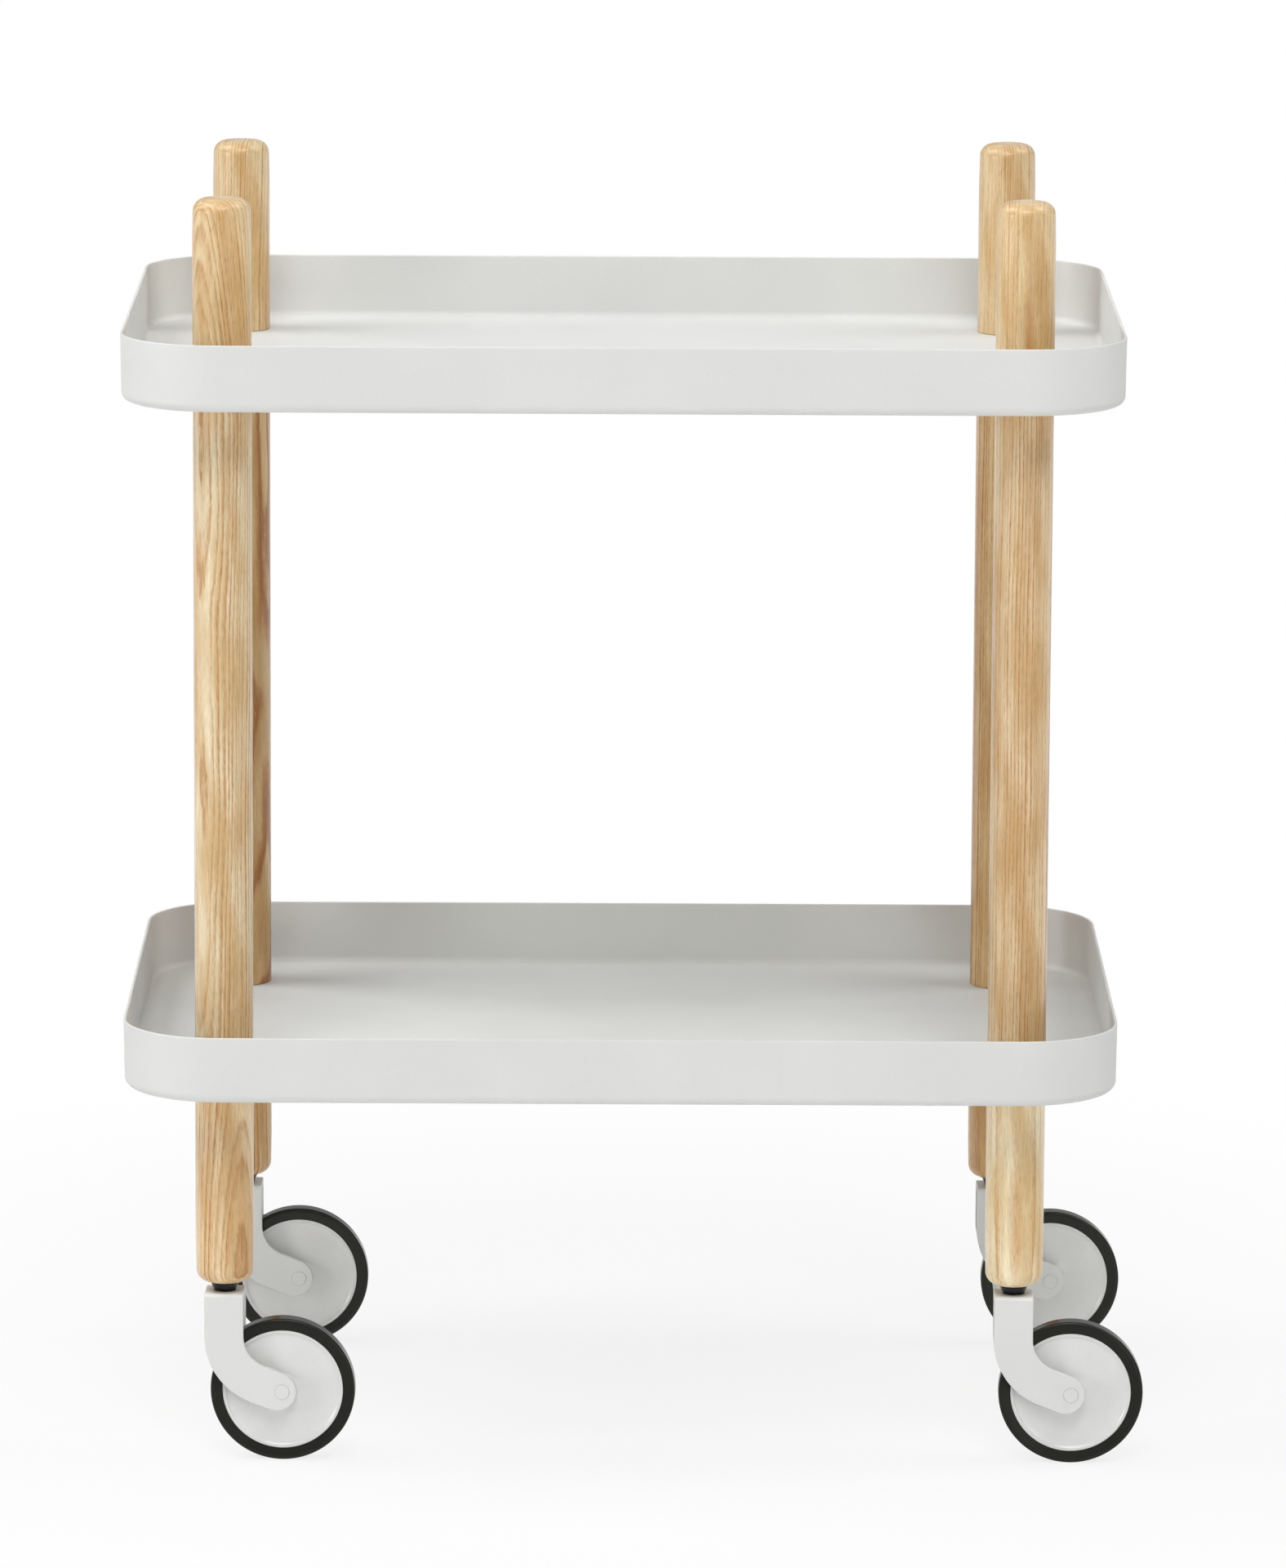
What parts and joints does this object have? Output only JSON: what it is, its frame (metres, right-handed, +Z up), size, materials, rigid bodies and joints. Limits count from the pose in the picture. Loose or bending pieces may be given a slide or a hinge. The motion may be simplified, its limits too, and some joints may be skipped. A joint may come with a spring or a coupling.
{
  "type": "serving trolley",
  "caption": "Two-tier serving trolley: rounded rectangular steel trays with a low rim, round wooden legs and swivel casters with thin tyres.",
  "frame": {"origin": "on the floor, under the middle of the trolley's bounding box", "axes": "+Z up, +X along the trays' long side towards the trailing wheels, -Y towards the pictured front"},
  "size_m": [0.5155, 0.35, 0.6425],
  "materials": {
    "tray_powder_coat": "white satin powder coat",
    "caster_powder_coat": "white satin powder coat",
    "hub_plastic": "semi-gloss light grey",
    "tyre_rubber": "semi-matt black",
    "black_plastic": "gloss black",
    "ash_wood": "turned ash, clear satin lacquer",
    "zinc_steel": "zinc plated"
  },
  "bodies": {
    "frame": {"upper_tray": "tray_powder_coat", "lower_tray": "tray_powder_coat", "front_left_top_post": "ash_wood", "front_left_middle_post": "ash_wood", "front_left_bottom_post": "ash_wood", "front_right_top_post": "ash_wood", "front_right_middle_post": "ash_wood", "front_right_bottom_post": "ash_wood", "back_left_top_post": "ash_wood", "back_left_middle_post": "ash_wood", "back_left_bottom_post": "ash_wood", "back_right_top_post": "ash_wood", "back_right_middle_post": "ash_wood", "back_right_bottom_post": "ash_wood", "upper_tray_studs": "zinc_steel", "lower_tray_studs": "zinc_steel", "top_post_inserts": "zinc_steel", "middle_post_inserts": "zinc_steel", "bottom_post_inserts": "zinc_steel", "caster_inserts": "zinc_steel", "front_left_caster_stem": "zinc_steel", "front_left_swivel_collar": "black_plastic", "front_right_caster_stem": "zinc_steel", "front_right_swivel_collar": "black_plastic", "back_left_caster_stem": "zinc_steel", "back_left_swivel_collar": "black_plastic", "back_right_caster_stem": "zinc_steel", "back_right_swivel_collar": "black_plastic"},
    "front_left_caster": {"front_left_thrust_washer": "black_plastic", "front_left_caster_fork": "caster_powder_coat", "front_left_wheel_pin": "caster_powder_coat", "front_left_axle_sleeve": "zinc_steel"},
    "front_left_wheel": {"front_left_wheel_hub": "hub_plastic", "front_left_tyre": "tyre_rubber"},
    "front_right_caster": {"front_right_thrust_washer": "black_plastic", "front_right_caster_fork": "caster_powder_coat", "front_right_wheel_pin": "caster_powder_coat", "front_right_axle_sleeve": "zinc_steel"},
    "front_right_wheel": {"front_right_wheel_hub": "hub_plastic", "front_right_tyre": "tyre_rubber"},
    "back_left_caster": {"back_left_thrust_washer": "black_plastic", "back_left_caster_fork": "caster_powder_coat", "back_left_wheel_pin": "caster_powder_coat", "back_left_axle_sleeve": "zinc_steel"},
    "back_left_wheel": {"back_left_wheel_hub": "hub_plastic", "back_left_tyre": "tyre_rubber"},
    "back_right_caster": {"back_right_thrust_washer": "black_plastic", "back_right_caster_fork": "caster_powder_coat", "back_right_wheel_pin": "caster_powder_coat", "back_right_axle_sleeve": "zinc_steel"},
    "back_right_wheel": {"back_right_wheel_hub": "hub_plastic", "back_right_tyre": "tyre_rubber"}
  },
  "joints": [
    {"name": "front_left_swivel", "type": "hinge", "parent": "frame", "child": "front_left_caster", "pos_m": [-0.20725, -0.1225, 0.0872], "axis": [0, 0, 1], "continuous": true},
    {"name": "front_left_wheel_roll", "type": "hinge", "parent": "front_left_caster", "child": "front_left_wheel", "pos_m": [-0.17786, -0.12327, 0.0366], "axis": [0.0262, 0.9997, 0], "continuous": true},
    {"name": "front_right_swivel", "type": "hinge", "parent": "frame", "child": "front_right_caster", "pos_m": [0.19175, -0.1225, 0.0872], "axis": [0, 0, 1], "continuous": true},
    {"name": "front_right_wheel_roll", "type": "hinge", "parent": "front_right_caster", "child": "front_right_wheel", "pos_m": [0.22115, -0.12301, 0.0366], "axis": [0.0175, 0.9998, 0], "continuous": true},
    {"name": "back_left_swivel", "type": "hinge", "parent": "frame", "child": "back_left_caster", "pos_m": [-0.20725, 0.1225, 0.0872], "axis": [0, 0, 1], "continuous": true},
    {"name": "back_left_wheel_roll", "type": "hinge", "parent": "back_left_caster", "child": "back_left_wheel", "pos_m": [-0.17785, 0.1225, 0.0366], "axis": [0, 1, 0], "continuous": true},
    {"name": "back_right_swivel", "type": "hinge", "parent": "frame", "child": "back_right_caster", "pos_m": [0.19175, 0.1225, 0.0872], "axis": [0, 0, 1], "continuous": true},
    {"name": "back_right_wheel_roll", "type": "hinge", "parent": "back_right_caster", "child": "back_right_wheel", "pos_m": [0.22115, 0.1225, 0.0366], "axis": [0, 1, 0], "continuous": true}
  ]
}
